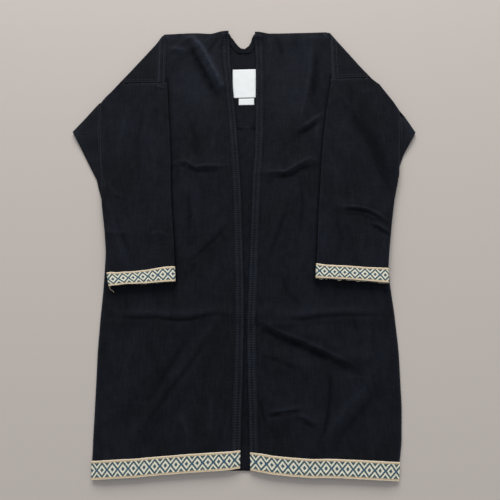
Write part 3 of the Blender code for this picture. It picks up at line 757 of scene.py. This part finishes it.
def dress_sleeve(side):
    name, seed = f"sleeve_{side}", SEEDS[side] + 3.0
    patch = PATCHES[name]

    def wear_and_light(x, y):
        folds = near(x, np.interp(y, *patch.outer), 2.4) + 0.4 * near(x, np.interp(y, *patch.inner), 2.0)
        seam = near_line(x, y, ARMHOLES[side], 4.0)
        return 0.22 * folds + 0.25 * seam + crease_highlight_and_shade(relief(name, x, y, seed, 0.0))

    def added(x, y):
        return relief(name, x, y, seed)

    def laid(x, y, z):
        x, y = armhole_slid(x, y, ARMHOLE_DROP * ease((y - 762.0) / 24.0))
        return x, y + cuff_raised(side, x, y), z

    cloth = dress(name, SLEEVE_EDGE, added, COTTON, wear_and_light=wear_and_light, moved=laid)


for side in SIDES:
    dress_sleeve(side)

# %% [markdown]
# ## The gussets
# A triangle is let in under each arm. It is folded flat between the sleeve and the body, and its outer
# edges show as a small wing at each elbow. The fold's upper layers end part of the way down it.

# %% Dressing the gussets
GUSSET_EDGE = 3.0
GUSSET_MIDDLE = {"left": -367.0, "right": 359.0}
FLAP_END = {"left": 665.0, "right": 650.0}
FLAP_RUN = 46.0
FLAP_WIDTH = 40.0
FLAP_OVER_INNER = 6.6
FLAP_OVER_OUTER = 2.4
FLAP_THICKNESS = 0.87
UNDER_FLAP = 3.6
FLOOR_LAYER = 0.6
LAYER_RISE = 2.6
STEP_WIDTH = 1.4
FLAP_TUCK = 1.6
TUCK_REACH = 5.0


def dress_gusset(side):
    name = f"gusset_{side}"

    def wear_and_light(x, y):
        return 0.25 * near(x, GUSSET_MIDDLE[side], 18.0) + 0.05

    def added(x, y):
        return 0.5 * relief("gusset", x, y, 31.0)

    def step_softened(x, y, z):
        """The flap of the fold ends in a step, which real cloth spreads into a slope."""
        seam = np.interp(y, *PATCHES[f"sleeve_{side}"].outer)
        beyond = max(abs(x) - abs(seam), 0.0)
        above = lerp(FLAP_OVER_INNER, FLAP_OVER_OUTER, ease(beyond / FLAP_WIDTH))
        on_flap = np.clip((y - FLAP_END[side]) / STEP_WIDTH + 0.5, 0.0, 1.0)
        below = min(UNDER_FLAP, z / (1.0 + FLAP_THICKNESS * on_flap))
        slope = (1.0 - on_flap) * ease((y - FLAP_END[side] + FLAP_RUN) / FLAP_RUN)
        slope *= min(max(below - FLOOR_LAYER, 0.0) / LAYER_RISE, 1.0)
        tuck = FLAP_TUCK * near(beyond, 0.0, TUCK_REACH) * (z > 4.0)
        return x - SIGN[side] * tuck, y, z + slope * above

    cloth = dress(name, GUSSET_EDGE, added, COTTON, wear_and_light=wear_and_light, moved=step_softened, passes=24)


for side in SIDES:
    dress_gusset(side)

# %% [markdown]
# ## The bands
# A narrow band of doubled cotton finishes the opening, held by two rows of stitches. Each stitch pulls the
# cloth in a little, so a washed band is puckered at the pitch of its stitches. The crests of its puckers
# are painted paler as highlight, and thin lines between the rows and along the band's outer edge are
# painted darker as shade.

# %% The bands' puckers
BAND = cotton("band", (0.0068, 0.0075, 0.0095), (0.0090, 0.0108, 0.0165), (0.0230, 0.0250, 0.0310),
              (0.068, 0.076, 0.096))
PUCKER_PITCH = 4.7
PUCKER_WANDER = 1.1
STITCH_SHARES = (0.20, 0.66)


def pulled_rows(y, across):
    """Where the two rows of stitches are, and how far each place lies between two stitches."""
    rows = sum(near(across, row, 0.10) for row in STITCH_SHARES)
    return rows, 0.5 + 0.5 * np.cos(2.0 * math.pi * y / PUCKER_PITCH)


def band_relief(x, y, across, seed):
    """Puckers run right across the band and are deepest between its two rows of stitches."""
    rows, crest = pulled_rows(y + PUCKER_WANDER * lumps(x, y, 30.0, 17.0, seed), across)
    swell = 0.45 * near(across, 0.5, 0.42)
    return 0.35 * lumps(x, y, 8.0, 16.0, seed) + swell * (0.35 + 0.75 * crest) - 0.5 * rows * (1.0 - crest)


# %% Dressing the bands
BAND_EDGE = 1.7
NECK_BAND_EDGE = 1.8
# Painted shade: the whole neck band, inside the neck's V, is painted darker.
NECK_BAND_PAINTED_SHADE = -0.35
PEAK_DROP = {"left": 4.8, "right": 10.5}
PEAK_SLANT = 2.5


def dress_band(side):
    name = f"front_band_{side}"
    patch = PATCHES[name]

    def added(x, y):
        return band_relief(x, y, shares_of(patch, x, y)[0], SEEDS[side] + 7.0)

    def wear_and_light(x, y):
        across = shares_of(patch, x, y)[0]
        rows, crest = pulled_rows(y, across)
        # Painted light: pucker crests across the band and along the stitch rows are painted paler as
        # highlight, and lines between the rows and at the outer edge darker as shade.
        bar_highlight = crest * np.exp(-(((across - 0.5) / 0.45) ** 4))
        between = near(across, 0.43, 0.07) + near(across, 1.0, 0.05)
        return 0.08 * bar_highlight + 0.17 * rows * crest - 0.22 * between

    def peak_lowered(x, y, z):
        """The band's top end is soft: it droops to the shoulder line, most at its outer corner."""
        across = np.clip(shares_of(patch, x, y)[0], 0.0, 1.0)
        drop = (PEAK_DROP[side] + PEAK_SLANT * across ** 2) * ease((y - 872.0) / 38.0)
        return x, y - drop, z

    cloth = dress(name, BAND_EDGE, added, BAND, passes=4, wear_and_light=wear_and_light, moved=peak_lowered,
                  rounded=lambda x, y, z: y > 892.0)


for side in SIDES:
    dress_band(side)

neck_cloth = dress("neck_band", NECK_BAND_EDGE, lambda x, y: 0.3 * lumps(x, y, 7.0, 7.0, 3.0) - 0.2, BAND,
                   passes=6, wear_and_light=lambda x, y: np.full(x.shape, NECK_BAND_PAINTED_SHADE),
                   rounded=lambda x, y, z: np.abs(x) < 60.0)

# %% [markdown]
# ## The braid
# A woven braid edges the hem and the cuffs: a row of diamonds in cream and dark teal, with a paler blue
# where their outlines meet, between tan and cream selvedges. An image would have to be drawn. One sum
# gives the whole pattern instead: the distance along from a diamond's middle plus the distance from the
# braid's mid-line, each over its own size, is the same all the way round a diamond.

# %% The braid's pattern
BRAID_REPEAT = 19.4
BRAID_WIDTH = 32.0
DIAMOND_HEIGHT = 11.8
PICK = 0.72
RAMP_END = 2.4
CREAM, LATTICE, HEART = (0.86, 0.82, 0.65), (0.048, 0.098, 0.118), (0.060, 0.085, 0.075)
DIAMOND_BANDS = ((0.0, HEART), (0.31, CREAM), (0.72, LATTICE), (1.15, CREAM), (1.50, LATTICE),
                 (1.92, CREAM))
CROSSING_BLUE = (0.028, 0.110, 0.215)
TAN, OUTERMOST = (0.66, 0.48, 0.29), (0.84, 0.72, 0.53)
BETWEEN_THREADS = (0.16, 0.15, 0.13)


def braid_material():
    made, tree, shader = new_material("braid", 0.78, 0.25)
    chart = add_node(tree, "ShaderNodeAttribute", attribute_name="chart").outputs["Vector"]
    parts = add_node(tree, "ShaderNodeSeparateXYZ", {0: chart})
    along = add_math(tree, "SNAP", parts.outputs[0], PICK * MM)
    off_line = add_math(tree, "ABSOLUTE", parts.outputs[1])
    picked = add_math(tree, "SNAP", off_line, PICK * MM)
    across = add_math(tree, "MULTIPLY", picked, 1.0 / (DIAMOND_HEIGHT * MM))
    from_middle = add_math(tree, "PINGPONG", along, BRAID_REPEAT * MM / 2.0)
    share = add_math(tree, "MULTIPLY", from_middle, 2.0 / (BRAID_REPEAT * MM))
    total = add_math(tree, "ADD", share, across)
    position = add_math(tree, "MULTIPLY", total, 1.0 / RAMP_END)
    coloured = add_node(tree, "ShaderNodeValToRGB", {0: position})
    ramp, pattern = coloured.color_ramp, coloured.outputs[0]
    ramp.interpolation = "CONSTANT"
    for k, (start, colour) in enumerate(DIAMOND_BANDS):
        stop = ramp.elements[k] if k < 2 else ramp.elements.new(start / RAMP_END)
        stop.position = start / RAMP_END
        stop.color = (*colour, 1.0)
    grain = add_node(tree, "ShaderNodeTexNoise", {"Vector": chart, "Scale": 1300.0, "Detail": 2.0})
    selvedge = add_math(tree, "GREATER_THAN", off_line, 12.3 * MM)
    outermost = add_math(tree, "GREATER_THAN", off_line, 14.3 * MM)
    crossing = add_node(tree, "ShaderNodeMapRange",
                        {"Value": off_line, "From Max": 5.0 * MM, "To Min": 0.45, "To Max": 0.0})
    dark = add_node(tree, "ShaderNodeRGBToBW", {0: pattern}).outputs[0]
    dark = add_math(tree, "LESS_THAN", dark, 0.3)
    blue = add_math(tree, "MULTIPLY", crossing.outputs[0], dark)
    pattern = blend_colours(tree, blue, pattern, CROSSING_BLUE)
    edges = blend_colours(tree, outermost, TAN, OUTERMOST)
    woven = blend_colours(tree, selvedge, pattern, edges)
    shade = add_math(tree, "MULTIPLY", add_math(tree, "SUBTRACT", grain.outputs[0], 0.42), 0.7)
    colour = blend_colours(tree, shade, woven, BETWEEN_THREADS)
    tree.links.new(colour, shader.inputs["Base Color"])
    thread = add_node(tree, "ShaderNodeTexWave", {"Vector": chart, "Scale": 330.0, "Distortion": 1.0})
    add_bump(tree, shader, thread.outputs["Fac"], 0.35, 0.3 * MM)
    return made


BRAID = braid_material()
print("diamonds on a front's hem:", round(280.0 / BRAID_REPEAT, 1))

# %% Dressing the braids
FINE_BRAID_EDGE = 1.9
BACK_BRAID_EDGE = 4.0
CUFF_SHIFT = {"left": -3.7, "right": 3.2}
UNDER_CUFF_SHOWS = 3.4
CUFF_CORNER_DROP = 4.0
CUFF_CORNER_START = 0.72


def cuff_corner(patch, x, y):
    """How far a place is into the left cuff's outer corner, which hangs."""
    across = shares_of(patch, x, y)[0]
    return CUFF_CORNER_DROP * ease((across - CUFF_CORNER_START) / (1.0 - CUFF_CORNER_START))


def dress_braid(name, side, shift):
    """Dresses one braid. Its pattern is shifted along it, as its diamonds start elsewhere."""
    patch = PATCHES[name]
    width = np.abs(patch.outer[1].mean() - patch.inner[1].mean())

    def chart(x, y):
        across, up = shares_of(patch, x, y)
        return across * width + shift, (up - 0.5) * BRAID_WIDTH, 0.0 * x

    def moved(x, y, z):
        """The selvedges are a little uneven, and the cuff's under layer hangs out past its upper one."""
        up = shares_of(patch, x, y)[1]
        laid = cuff_raised(side, x, y) if name.startswith("cuff") else 0.0
        wobble = 0.55 * noise.noise(Vector((x / 3.1, 0.0, 8.0)))
        wobble = (wobble + 0.35 * noise.noise(Vector((x / 1.4, 3.0, 8.0)))) * abs(2.0 * up - 1.0)
        if name == "cuff_braid_right" and up < 0.4 and z < 12.0:
            wobble -= UNDER_CUFF_SHOWS * max(0.0, noise.noise(Vector((x / 9.0, 1.0, 2.0))) + 0.12)
        if name == "cuff_braid_left":
            hang = cuff_corner(patch, x, y)
            wobble -= hang * max(up, 0.0)
            x -= hang * (1.0 - min(up, 1.0))
        return x, y + laid + wobble, z

    def added(x, y):
        """The braid is thicker along its selvedges."""
        rim = near(np.abs(shares_of(patch, x, y)[1] - 0.5), 0.46, 0.06)
        return 0.22 * lumps(x, y, 9.0, 9.0, SEEDS[side]) + 0.3 * rim

    cloth = dress(name, FINE_BRAID_EDGE, added, BRAID, passes=4, chart=chart, hidden_edge=8.0,
                  moved=moved)


for side in SIDES:
    dress_braid(f"hem_braid_{side}", side, 0.0)
    dress_braid(f"cuff_braid_{side}", side, CUFF_SHIFT[side])


def back_braid_chart(x, y):
    low = np.interp(x, *BACK_BRAID_LOW)
    return x, y - low - BRAID_WIDTH / 2.0, 0.0 * x


back_braid = SOLIDS["hem_braid_back"]
at = np.linspace(back_braid.points[:, X].min() + 1.0, back_braid.points[:, X].max() - 1.0, SLICES)
BACK_BRAID_LOW = (at, slice_span(back_braid, X, at)[0])
back_braid_cloth = dress("hem_braid_back", BACK_BRAID_EDGE, lambda x, y: 0.0 * x, BRAID, passes=2,
                         chart=back_braid_chart)

# %% [markdown]
# ## Stitches
# Seams on this coat are topstitched, so a row of short stitches, a little paler than the cloth, runs beside
# each of them. A line of dots could be painted, but real stitches catch the light, so each one is a tiny
# capsule of thread laid on the cloth below it. All the rows of a band or a shoulder are one mesh.

# %% One stitch, and a row of them
STITCH_SIDES = 6
RAY_START = 60.0
LEAST_SEWN = 1.0
STITCH_STATIONS = ((-0.5, 0.35), (-0.32, 1.0), (0.32, 1.0), (0.5, 0.35))


def height_on(names, x, y):
    """The highest dressed piece of these, straight above or below a place."""
    best = 0.0
    for name in names:
        hit = TREES[name].ray_cast(Vector((x, y, RAY_START)), Vector((0.0, 0.0, -1.0)))[0]
        if hit is not None:
            best = max(best, hit.z)
    return best


def beside(points, by):
    """A line moved sideways, to its left if by is more than 0."""
    points = np.array(points, float)
    runs = np.gradient(points, axis=0)
    runs /= np.linalg.norm(runs, axis=1)[:, None]
    return points + by * np.stack((-runs[:, Y], runs[:, X]), axis=1)


def stitch_row(points, names, pitch, length, radius=0.32):
    """Corners and faces of one row of stitches along a line."""
    points = np.array(points, float)
    passed = np.concatenate(([0.0], np.cumsum(np.linalg.norm(np.diff(points, axis=0), axis=1))))
    corners, faces = [], []
    for middle in np.arange(pitch / 2.0, passed[-1], pitch):
        ends = [np.array([np.interp(middle + half * length, passed, points[:, k]) for k in (X, Y)])
                for half in (-0.5, 0.5)]
        heights = [height_on(names, *end) for end in ends]
        if min(heights) < LEAST_SEWN:
            continue
        start, end = (np.append(place, height) for place, height in zip(ends, heights))
        way = (end - start) / max(np.linalg.norm(end - start), 1e-6)
        across = np.array((-way[Y], way[X], 0.0))
        first = len(corners)
        for share, girth in STITCH_STATIONS:
            for k in range(STITCH_SIDES):
                turn = 2.0 * math.pi * k / STITCH_SIDES
                ring = math.cos(turn) * across + math.sin(turn) * np.array((0.0, 0.0, 1.0))
                corners.append((start + end) / 2.0 + share * length * way + radius * girth * ring)
        for row in range(len(STITCH_STATIONS) - 1):
            for k in range(STITCH_SIDES):
                low, high = first + row * STITCH_SIDES, first + (row + 1) * STITCH_SIDES
                after = (k + 1) % STITCH_SIDES
                faces.append((low + k, low + after, high + after, high + k))
        faces.append(tuple(range(first + STITCH_SIDES - 1, first - 1, -1)))
        faces.append(tuple(range(len(corners) - STITCH_SIDES, len(corners))))
    return corners, faces


# %% Sewing rows into one piece of thread
def thread_material(name, colour):
    return new_material(name, 0.7, 0.2, colour)[0]


THREAD = thread_material("navy_thread", (0.021, 0.023, 0.029))
SEAM_THREAD = thread_material("worn_thread", (0.040, 0.045, 0.057))
CREAM_THREAD = thread_material("cream_thread", (0.62, 0.52, 0.38))


def sew(name, rows, material=THREAD):
    """One object from several rows, each a line, the pieces under it, a pitch and a stitch length."""
    corners, faces = [], []
    for row in rows:
        more, their_faces = stitch_row(*row)
        faces += [tuple(k + len(corners) for k in face) for face in their_faces]
        corners += more
    made = bpy.data.meshes.new(name)
    made.from_pydata([tuple((corner + HEM_MIDDLE) * MM) for corner in corners], [], faces)
    made.shade_smooth()
    made.materials.append(material)
    placed(name, made)
    print(name, "has", len(corners) // (len(STITCH_STATIONS) * STITCH_SIDES), "stitches")


# %% The rows on the bands, the shoulders and the armholes
SEWN_FROM, SEWN_TO = 40.0, 890.0
BAND_STITCH = 3.0
SEAM_PITCH = 3.6
SEAM_STITCH = 2.5
SHOULDERS = {"left": ((-171, 785), (-172, 840), (-173, 898)), "right": ((190, 792), (190, 840), (190, 890))}
YOKE_STITCHES = ((-34, 678.5), (0, 678), (38, 677.5))
GUSSET_SEAMS = {
    "left": ((-311, 740), (-308, 690), (-305, 632), (-297, 576), (-288, 543)),
    "right": ((328, 706), (325, 650), (321, 600), (318, 565)),
}


def seam_rows(line, names, *distances):
    """A row of stitches at each of these distances to the left of a line."""
    return [(beside(line, distance), names, SEAM_PITCH, SEAM_STITCH) for distance in distances]


for side in SIDES:
    band, sign = f"front_band_{side}", SIGN[side]
    up = np.linspace(SEWN_FROM, SEWN_TO, 60)
    inner, outer = np.interp(up, *PATCHES[band].inner), np.interp(up, *PATCHES[band].outer)
    rows = [(np.stack((lerp(inner, outer, share), up), axis=1), (band,), PUCKER_PITCH, BAND_STITCH)
            for share in STITCH_SHARES]
    sew(f"band_stitches_{side}", rows)
    corner = ("back", f"sleeve_{side}", f"front_{side}")
    gusset = (f"gusset_{side}", f"sleeve_{side}")
    rows = seam_rows(SHOULDERS[side], corner, -sign * 3.5, -sign * 12.0)
    rows += seam_rows(ARMHOLES[side], corner, 2.5, 8.0)
    rows += seam_rows(GUSSET_SEAMS[side], gusset, sign * 2.5, -sign * 2.0)
    sew(f"shoulder_stitches_{side}", rows, SEAM_THREAD)

sew("yoke_stitches", seam_rows(YOKE_STITCHES, ("back",), 0.0), SEAM_THREAD)

# %% [markdown]
# One end of the braid's thread hangs loose under the left cuff. A curve with a round bevel is the simplest
# way to make a thread that isn't sewn down.

# %% The loose thread
LOOSE_END = ((-266.0, 341.0, 12.0), (-266.0, 335.0, 10.0), (-263.5, 330.5, 8.4), (-259.5, 330.0, 7.8),
             (-257.5, 326.5, 7.6))
line = bpy.data.curves.new("loose_thread", "CURVE")
line.dimensions = "3D"
line.bevel_depth = 0.55 * MM
line.bevel_resolution = 2
line.use_fill_caps = True
spline = line.splines.new("NURBS")
spline.points.add(len(LOOSE_END) - 1)
for point, place in zip(spline.points, LOOSE_END):
    point.co = (*((np.array(place) + HEM_MIDDLE) * MM), 1.0)
spline.use_endpoint_u = True
line.materials.append(CREAM_THREAD)
placed("loose_thread", line)
print("loose thread:", len(LOOSE_END), "points")

# %% [markdown]
# ## The labels
# Two white woven labels are sewn in at the back of the neck. They are left blank. Satin shines a little
# more than cotton and shows a fine rib across it.

# %% Dressing the labels
def satin():
    made, tree, shader = new_material("label", 0.5, colour=(0.80, 0.82, 0.82))
    where = add_node(tree, "ShaderNodeTexCoord").outputs["Object"]
    rib = add_node(tree, "ShaderNodeTexWave", {"Vector": where, "Scale": 160.0}, bands_direction="Y")
    add_bump(tree, shader, rib.outputs["Fac"], 0.12, 0.2 * MM)
    return made


def label_relief(x, y):
    return 0.25 * lumps(x, y, 16.0, 16.0, 5.0) + 0.12


LABEL = satin()
LABEL_EDGE = 2.0

for name, flat in (("neck_label", (0.051, 0.068)), ("size_label", (0.033, 0.015))):
    cloth = dress(name, LABEL_EDGE, label_relief, LABEL, passes=2)

# %% [markdown]
# ## The floor and the light
# The coat lies on a pale floor. The light is soft and comes from beyond the neck, as from a wide window, so
# a large panel of light stands there, and the sky fills the rest.

# %% The floor
FLOOR_TOP = -0.4 * MM

bpy.ops.mesh.primitive_plane_add(size=8.0, location=(0.0, 0.0, FLOOR_TOP))
floor = bpy.context.active_object
floor.name = "floor"
floor.data.materials.append(new_material("floor", 0.9, 0.15, (0.560, 0.505, 0.462))[0])

# %% The light
world = bpy.data.worlds.new("sky")
world.use_nodes = True
sky = world.node_tree.nodes["Background"]
sky.inputs["Color"].default_value = (0.93, 0.96, 1.0, 1.0)
sky.inputs["Strength"].default_value = 0.46
bpy.context.scene.world = world

panel = bpy.data.lights.new("window", "AREA")
panel.shape = "RECTANGLE"
panel.size = 3.0
panel.size_y = 2.0
panel.energy = 192.0
window = bpy.data.objects.new("window", panel)
window.location = (-0.1, 3.7, 1.9)
window.rotation_euler = (Vector((0.0, 0.1, 0.0)) - window.location).to_track_quat("-Z", "Y").to_euler()
bpy.context.scene.collection.objects.link(window)
bpy.context.scene.view_settings.view_transform = "Standard"
